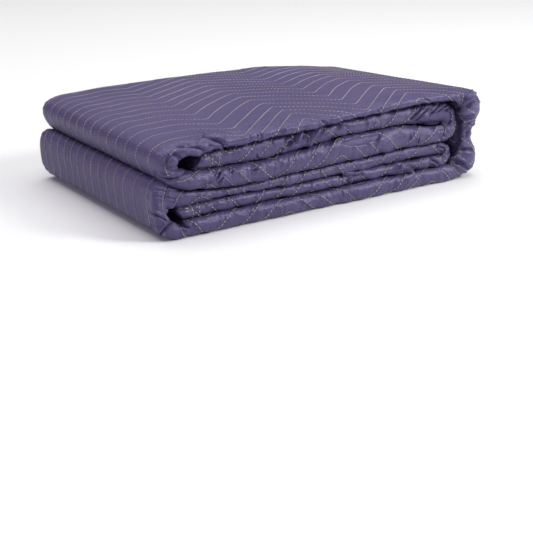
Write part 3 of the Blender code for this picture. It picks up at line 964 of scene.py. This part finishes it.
LIP_REACH = 2.6             # how far a lip's body goes in from its edge, in a crease's widths
LIP_RUN = 0.9               # spacing of its sections along the edge
LIP_BURIED = 0.3            # how deep its ends lie in the cloth
LIP_ENDS = 0.25             # share of its length over which a lip rises
SLIT_HALF = 0.55            # half the gap between the two lips of a slit
LIP_NEAR = 5.0              # a guess this near to the edge's middle shows which roll it is on
SAME_FACE = 70.0            # the cloth within this distance along is on the lip's own roll
# Section of a lip: share of the reach from the edge, share of the crease's height.
LIP_INWARD = np.array((0.03, -0.05, -0.05, 0.02, 0.12, 0.30, 0.52, 0.76, 1.00, 0.50))
LIP_HIGH = np.array((-0.10, 0.25, 0.60, 0.88, 1.00, 0.86, 0.52, 0.18, -0.20, -0.45))
GUESS_STEP = 3.0
GUESS_ROLL = (176.0, 254.0)     # across: the front rolls, where all lips lie
SEARCHES = 8                # steps of the search for a lip's places on the cloth
SEARCH_STEP = 2.0           # the longest of them
SEARCH_DAMPING = 0.02


def seen_places(along, across):
    """Where the smooth cloth appears on the plane of the pack's front."""
    return np.stack(seen_on_front(cloth_base(along, across, 1.0)), axis=-1)


def crossed(first, second):
    """Signed area between plane vectors."""
    return first[:, 0] * second[:, 1] - first[:, 1] * second[:, 0]


def found_on_cloth(targets, along, across):
    """Flat-cloth places that appear at the targets, found from first guesses."""
    for _ in range(SEARCHES):
        here = seen_places(along, across)
        by_along = (seen_places(along + NUDGE, across) - here) / NUDGE
        by_across = (seen_places(along, across + NUDGE) - here) / NUDGE
        area = crossed(by_along, by_across)
        damped = area / (area**2 + SEARCH_DAMPING)
        step_along = crossed(targets - here, by_across) * damped
        step_across = crossed(by_along, targets - here) * damped
        along = along + np.clip(step_along, -SEARCH_STEP, SEARCH_STEP)
        across = across + np.clip(step_across, -SEARCH_STEP, SEARCH_STEP)
    return along, across


def guesses():
    """Places of the cloth that face the camera: along, across, how far, and where they appear."""
    along, across = np.meshgrid(np.arange(0.0, STRIP.total, GUESS_STEP),
                                np.arange(*GUESS_ROLL, GUESS_STEP), indexing="ij")
    along, across = along.ravel(), across.ravel()
    points, facing = cloth_face(along, across)
    far = np.linalg.norm(EYE - points, axis=-1)
    kept = ((EYE - points) * facing).sum(-1) > 0.1 * far
    along, across = along[kept], across[kept]
    return along, across, far[kept], seen_places(along, across)


def edge_points(points):
    """Even points along a line of points with rounded corners, and the line's left side."""
    points = np.array(points)
    lengths = np.concatenate(([0.0], np.cumsum(np.hypot(*np.diff(points, axis=0).T))))
    places = np.linspace(0.0, lengths[-1], max(8, int(lengths[-1] / LIP_RUN)))
    line = 0.0
    for shift in (-1.5, 0.0, 1.5):
        line = line + np.stack([np.interp(places + shift, lengths, part) for part in points.T], axis=-1) / 3
    run = unit(np.gradient(line, axis=0))
    return line, np.stack((-run[:, 1], run[:, 0]), axis=-1)


def add_lip(parts, crease, edge, gap, guessed):
    """Add the lip of one step, or one of the two lips of a slit, on the edge's left side."""
    along, across, far, seen = guessed
    line, left = edge_points(edge)
    line = line + left * gap
    near = np.hypot(*(seen - line[len(line) // 2]).T) < LIP_NEAR
    if not near.any():
        return
    same = np.abs(along - along[near][np.argmin(far[near])]) < SAME_FACE
    inward = LIP_INWARD[:, None] * LIP_REACH * crease.wide
    targets = (line[:, None] + left[:, None] * inward).reshape(-1, 2)
    first = np.argmin(np.hypot(*(targets[:, None] - seen[same]).transpose(2, 0, 1)), axis=1)
    places = found_on_cloth(targets, along[same][first], across[same][first])
    points, facing = cloth_face(*places)
    share = np.linspace(0.0, 1.0, len(line))[:, None]
    rise = smooth(0.0, LIP_ENDS, share) * smooth(0.0, LIP_ENDS, 1.0 - share)
    heights = rise * LIP_HIGH * crease.high - LIP_BURIED * (1.0 - rise)
    rings = (points + facing * heights.reshape(-1, 1)).reshape(len(line), -1, 3)
    parts.add_tube(rings, np.stack(places, axis=-1), -1)


def tucked_edges(material):
    """The lips of all steps and slits as one piece."""
    parts = MeshParts()
    guessed = guesses()
    for crease in CREASES:
        if crease.kind == "step":
            add_lip(parts, crease, crease.points, 0.0, guessed)
        if crease.kind == "slit":
            add_lip(parts, crease, crease.points, SLIT_HALF, guessed)
            add_lip(parts, crease, crease.points[::-1], SLIT_HALF, guessed)
    return parts.build("tucked_edges", material)


# ---- Stitching. ----

STITCHES_A_LEG = 25         # stitches from one kink of a quilting line to the next
STITCH_PITCH = ZIG_HALF_PERIOD / STITCHES_A_LEG
STITCH_SHARE = 0.84         # share of each stitch's length that shows thread
THREAD_WIDE = 0.68
THREAD_HIGH = 0.55
THREAD_LIFT = 0.35          # how much higher the stitches lie on the rolls
THREAD_SIDES = 4
# Points along a stitch: share of half its length, and height over the cloth.
STITCH_SHARES = np.array((-1.0, -0.6, 0.6, 1.0))
STITCH_HEIGHTS = np.array((-0.2, 0.28, 0.28, -0.2))[:, None]
# Where the quilting stitches show.
OUTSIDE = ("fold A", "layer 1", "wrap", "layer 6", "fold B")
EVERYWHERE = tuple(STRIP.stretches)
STITCHED = table(
    "start end stretches",
    (1.0, 194.0, OUTSIDE),
    (194.0, 249.6, EVERYWHERE),
    (444.0, 470.0, EVERYWHERE),
    (907.0, 922.0, EVERYWHERE),
)


def stitch_tubes(parts, along, across, half_along, half_across, lift):
    """Add one short raised tube for each stitch, on the cloth's face."""
    points, facing = cloth_face(along[:, None] + STITCH_SHARES * half_along[:, None],
                                across[:, None] + STITCH_SHARES * half_across[:, None])
    points = points + facing * (STITCH_HEIGHTS + np.reshape(lift, (-1, 1, 1)))
    sideways = np.cross(facing, unit(points[:, -1] - points[:, 0])[:, None])
    rings = []
    for corner in range(THREAD_SIDES):
        angle = 2 * math.pi * (corner + 0.5) / THREAD_SIDES
        out = sideways * (THREAD_WIDE / 2 * math.cos(angle))
        out = out + facing * (THREAD_HIGH / 2 * math.sin(angle))
        rings.append(points[:, 1:3] + out[:, 1:3])
    rings = np.stack(rings, axis=2).reshape(len(along), -1, 3)
    block = np.concatenate((points[:, :1], rings, points[:, 3:]), axis=1)
    size = block.shape[1]
    flat = np.repeat(np.stack((along, across), axis=-1), size, axis=0)
    start = parts.add_points(block, flat)
    for first in range(start, start + len(along) * size, size):
        last = first + size - 1
        for corner in range(THREAD_SIDES):
            near, after = first + 1 + corner, first + 1 + (corner + 1) % THREAD_SIDES
            far, far_after = near + THREAD_SIDES, after + THREAD_SIDES
            parts.faces += [(first, after, near), (near, after, far_after, far), (last, far, far_after)]


def quilting_thread(material):
    """Every quilting stitch that shows."""
    parts = MeshParts()
    phase = ZIG_START % STITCH_PITCH
    along = np.arange(phase + STITCH_PITCH / 2, STRIP.total - STITCH_PITCH / 2, STITCH_PITCH)
    farthest = int((FLAT_WIDTH - FRONT_LINE) / LINE_SPACING) + 2
    chosen = []
    for line in range(LINE_NUMBERS[0], farthest):
        across = line_across(line, along)
        lean = (line_across(line, along + 0.1) - line_across(line, along - 0.1)) / 0.2
        for shown in STITCHED:
            limits = [STRIP.stretches[name] for name in shown.stretches]
            reached = np.any([(along >= start) & (along < end) for start, end in limits], axis=0)
            pick = (across > shown.start) & (across < shown.end) & reached
            chosen.append(np.stack((along, across, lean))[:, pick])
    along, across, lean = np.concatenate(chosen, axis=1)
    half = np.full(len(along), STITCH_SHARE * STITCH_PITCH / 2)
    stitch_tubes(parts, along, across, half, half * lean, THREAD_LIFT * bunching(across))
    return parts.build("quilting_thread", material)


# ---- The binding: a tape folded over each free end of the strip, sewn down with two rows. ----

TAPE_THICK = 0.35
TAPE_ROWS = (8.5, 14.0)     # places of its two stitch rows, from the free end
TAPE_PITCH = 3.2            # from stitch to stitch in those rows
TAPE_STITCH = 0.42          # half a stitch's length, in pitches
TAPE_STITCHED = ((180.0, 262.0), (438.0, 476.0), (0.5, 12.0))
# Section of the tape: distance from the free end, side of the cloth, lift over that side.
TAPE_SECTION = table(
    "inward side lift",
    (16.5, 1.0, -0.05),
    (16.1, 1.0, 0.28),
    (12.0, 1.0, 0.35),
    (6.0, 1.0, 0.35),
    (0.6, 1.0, 0.30),
    (-0.5, 0.5, 0.0),
    (-0.5, -0.5, 0.0),
    (0.6, -1.0, 0.20),
    (8.0, -1.0, 0.20),
    (16.1, -1.0, 0.20),
    (16.5, -1.0, -0.05),
)


def from_end(inward, lower):
    """Distance along the strip of a place that far in from its upper or lower free end."""
    return STRIP.total - inward if lower else inward


def tape_edge(point, lower, across):
    """Points of one corner of the tape's section along the whole free end."""
    along = np.full(len(across), from_end(point.inward, lower))
    inside = np.clip(along, 0.0, STRIP.total)
    face, facing = cloth_face(inside, across)
    if point.side < 1.0:
        face = cloth_base(inside, across, point.side)
    ahead, behind = np.clip(inside + NUDGE, 0.0, STRIP.total), np.clip(inside - NUDGE, 0.0, STRIP.total)
    run = unit(cloth_base(ahead, across, 0.0) - cloth_base(behind, across, 0.0))
    lift = point.lift * np.sign(point.side)
    return face + facing * lift + run * (along - inside)[:, None]


def binding_tape(material):
    """The tape round both free ends."""
    parts = MeshParts()
    across = np.array([row[0] for row in band_rows(FACE_BANDS)])
    for lower in (False, True):
        rings = np.stack([tape_edge(point, lower, across) for point in TAPE_SECTION], axis=1)
        along = [from_end(point.inward, lower) for point in TAPE_SECTION]
        flat = np.stack(np.meshgrid(along, across), axis=-1)
        parts.add_tube(rings, flat, -1 if lower else 1)
    return parts.build("binding_tape", material)


def binding_thread(material):
    """Two rows of stitches along the tape, where it shows."""
    parts = MeshParts()
    for first, last in TAPE_STITCHED:
        across = np.arange(first, last, TAPE_PITCH)
        half = np.full(len(across), TAPE_STITCH * TAPE_PITCH)
        for inward in TAPE_ROWS:
            for lower in (False, True):
                along = np.full(len(across), from_end(inward, lower))
                stitch_tubes(parts, along, across, 0.0 * half, half, TAPE_THICK)
    return parts.build("binding_thread", material)


# ---- Finishes. ----

CLOTH_COLOUR = (0.080, 0.062, 0.148, 1.0)
CLOTH_FADED = (0.092, 0.074, 0.167, 1.0)
CLOTH_DEEP = (0.064, 0.049, 0.129, 1.0)
THREAD_COLOUR = (0.50, 0.46, 0.43, 1.0)
THREAD_SOILED = (0.30, 0.27, 0.27, 1.0)
MIX_SHARE, MIX_FIRST, MIX_SECOND, MIXED = 0, 6, 7, 2    # a colour mix's sockets, by number


class Finish:
    """A material, and short ways to add nodes. A value can be a number or another node's output."""

    def __init__(self, name, colour, roughness):
        self.material = bpy.data.materials.new(name)
        self.material.use_nodes = True
        self.tree = self.material.node_tree
        self.shader = self.tree.nodes["Principled BSDF"].inputs
        self.put(self.shader, {"Base Color": colour, "Roughness": roughness})

    def put(self, sockets, values):
        """Set or link sockets by their names or numbers."""
        for key, value in values.items():
            if isinstance(value, bpy.types.NodeSocket):
                self.tree.links.new(value, sockets[key])
            else:
                sockets[key].default_value = value

    def add(self, kind, output, values, **settings):
        """Add a node, and return one of its outputs."""
        node = self.tree.nodes.new("ShaderNode" + kind)
        for name, value in settings.items():
            setattr(node, name, value)
        self.put(node.inputs, values)
        return node.outputs[output]

    def places(self, scale=(1.0, 1.0, 1.0), turned=0.0, name="flat_cloth"):
        """Places on the flat cloth, turned by some degrees, times scale."""
        values = {"Vector": self.add("UVMap", "UV", {}, uv_map=name), "Scale": scale,
                  "Rotation": (0.0, 0.0, math.radians(turned))}
        return self.add("Mapping", "Vector", values, vector_type="TEXTURE" if turned else "POINT")

    def sideways(self, places):
        """The second of the places' two numbers."""
        return self.add("SeparateXYZ", "Y", {"Vector": places})

    def noise(self, places, scale, detail):
        """Soft noise of about 0 to 1."""
        return self.add("TexNoise", "Fac", {"Vector": places, "Scale": scale, "Detail": detail})

    def ribs(self, places, pitch, direction):
        """Parallel ribs with this pitch in metres."""
        values = {"Vector": places, "Scale": math.pi / 10 / pitch, "Distortion": 0.4}
        return self.add("TexWave", "Fac", values, bands_direction=direction)

    def mixed(self, share, first, second):
        """Two colours mixed by a share."""
        values = {MIX_SHARE: share, MIX_FIRST: first, MIX_SECOND: second}
        return self.add("Mix", MIXED, values, data_type="RGBA")

    def spread(self, value, low, high, to_low=0.0, to_high=1.0):
        """Spread the values from low to high over to_low to to_high."""
        values = {"Value": value, "From Min": low, "From Max": high, "To Min": to_low, "To Max": to_high}
        return self.add("MapRange", "Result", values)

    def worked(self, operation, first, second=0.0):
        """One operation on two values."""
        return self.add("Math", "Value", {0: first, 1: second}, operation=operation)

    def apart(self, value, middle):
        """Distance of a value from a middle one."""
        return self.worked("ABSOLUTE", self.worked("SUBTRACT", value, middle))

    def creases(self, places, scale, share):
        """Rounded lumps with sharp creases between them, times a share."""
        return self.worked("MULTIPLY", self.apart(self.noise(places, scale, 2.0), 0.5), share)

    def puckers(self, rolls):
        """Short gathers square to the quilting lines and close to them."""
        soft = self.noise(self.places((300.0, 0.9, 1.0), name="quilt_lines"), 1.0, 2.0)
        line = self.sideways(self.places(name="quilt_lines"))
        beside = self.spread(self.apart(self.worked("FRACT", line), 0.5), 0.18, 0.5)
        beside = self.worked("MULTIPLY", beside, self.spread(rolls, 0.0, 1.0, 0.15, 1.0))
        return self.worked("MULTIPLY", beside, soft)

    def bump(self, layers):
        """Chain bump layers of (height, strength, distance) into the shader's normal."""
        normal = {}
        for height, strength, distance in layers:
            values = {"Strength": strength, "Distance": distance, "Height": height, **normal}
            normal = {"Normal": self.add("Bump", "Normal", values)}
        self.put(self.shader, normal)


def cloth_material():
    """Satin-faced indigo cloth: embossed weave, fine crinkles, uneven dye and slight fading."""
    look = Finish("indigo_quilt_cloth", CLOTH_COLOUR, 0.44)
    places = look.places()
    patches = look.spread(look.noise(places, 9.0, 3.0), 0.35, 0.65)
    streaks = look.noise(look.places((40.0, 420.0, 1.0)), 1.0, 4.0)
    dye = look.mixed(patches, CLOTH_DEEP, CLOTH_COLOUR)
    # 1 on the pack's front rolls, fading to 0 on its flat faces.
    rolls = look.apart(look.sideways(places), FRONT_LINE * MM)
    rolls = look.spread(rolls, 1.3 * ROLL_REACH * MM, 0.6 * ROLL_REACH * MM)
    look.put(look.shader, {
        "Base Color": look.mixed(look.spread(streaks, 0.55, 0.95), dye, CLOTH_FADED),
        "Roughness": look.spread(rolls, 0.0, 1.0, 0.50, 0.38),
        "IOR": 1.5,
        "Sheen Weight": 0.02,
        "Sheen Roughness": 0.5,
        "Sheen Tint": (0.72, 0.68, 1.0, 1.0),
        "Specular Tint": (0.80, 0.76, 1.0, 1.0),
    })
    slanting = look.places((1.0, 2.2, 1.0), turned=28.0)
    leaning = look.places((1.0, 2.2, 1.0), turned=-34.0)
    look.bump((
        (look.creases(slanting, 90.0, rolls), 1.0, 0.0020),
        (look.creases(leaning, 190.0, rolls), 1.0, 0.0007),
        (look.puckers(rolls), 1.0, 0.0022),
        (look.noise(places, 170.0, 4.0), 0.8, 0.0014),
        (look.ribs(places, 0.0016, "X"), 0.3, 0.0002),
        (look.ribs(places, 0.0011, "Y"), 0.3, 0.0002),
    ))
    return look.material


def thread_material():
    """Pale beige-grey sewing thread, soiled here and there."""
    look = Finish("pale_thread", THREAD_COLOUR, 0.7)
    soil = look.spread(look.noise(look.places(), 35.0, 3.0), 0.4, 0.75)
    look.put(look.shader, {"Base Color": look.mixed(soil, THREAD_COLOUR, THREAD_SOILED)})
    return look.material


# ---- Floor, light and camera. ----

CAMERA_YAW = 34.17          # degrees to the right of straight ahead
CAMERA_PITCH = 20.88        # degrees down
CAMERA_LENS = 82.42
FLOOR_COLOUR = (0.85, 0.85, 0.85, 1.0)
WORLD_STRENGTH = 0.14
WHITE = (1.0, 1.0, 1.0)
LIGHTS = table(
    "name place size power colour",
    ("overhead", (0.0, 0.4, 2.2), 3.0, 62.0, WHITE),
    ("front_right", (0.85, -1.05, 0.98), 0.45, 16.5, WHITE),
    ("left", (-1.9, 0.1, 0.9), 0.5, 7.0, (0.86, 0.72, 1.0)),
    ("right", (1.8, -0.7, 0.75), 0.8, 9.0, WHITE),
)


def studio():
    """A plain pale floor, weak light from all round, and soft square lights."""
    bpy.ops.mesh.primitive_plane_add(size=60.0, location=(0.0, 0.0, 0.0))
    floor = bpy.context.object
    floor.name = "floor"
    floor.data.materials.append(Finish("pale_floor", FLOOR_COLOUR, 0.7).material)
    world = bpy.data.worlds.new("studio")
    world.use_nodes = True
    background = world.node_tree.nodes["Background"]
    background.inputs["Color"].default_value = (*WHITE, 1.0)
    background.inputs["Strength"].default_value = WORLD_STRENGTH
    bpy.context.scene.world = world
    for row in LIGHTS:
        light = bpy.data.lights.new(row.name, "AREA")
        light.shape = "SQUARE"
        light.size = row.size
        light.energy = row.power
        light.color = row.colour
        item = new_object(row.name, light)
        item.location = row.place
        item.rotation_mode = "QUATERNION"
        item.rotation_quaternion = (-Vector(row.place)).to_track_quat("-Z", "Y")


def camera():
    """The camera at the product view."""
    data = bpy.data.cameras.new("camera")
    data.lens = CAMERA_LENS
    data.sensor_width = 36.0
    data.clip_start = 0.01
    item = new_object("camera", data)
    item.location = CAMERA_PLACE
    item.rotation_euler = (math.radians(90.0 - CAMERA_PITCH), 0.0, -math.radians(CAMERA_YAW))
    bpy.context.scene.camera = item


def dress():
    """Make every piece, attach each to the root, and hide the imported parts it replaces."""
    material = cloth_material()
    cloth = blanket(material)
    tape = binding_tape(material)
    sewing = binding_thread(thread_material())
    thread = quilting_thread(thread_material())
    lips = tucked_edges(material)
    for item in (tape, sewing, cloth, thread, lips):
        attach(item, "root")
    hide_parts("end_binding_upper", "end_binding_lower")
    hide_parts("quilted_panel")


camera()
studio()
bpy.context.scene.view_settings.view_transform = "Standard"
dress()
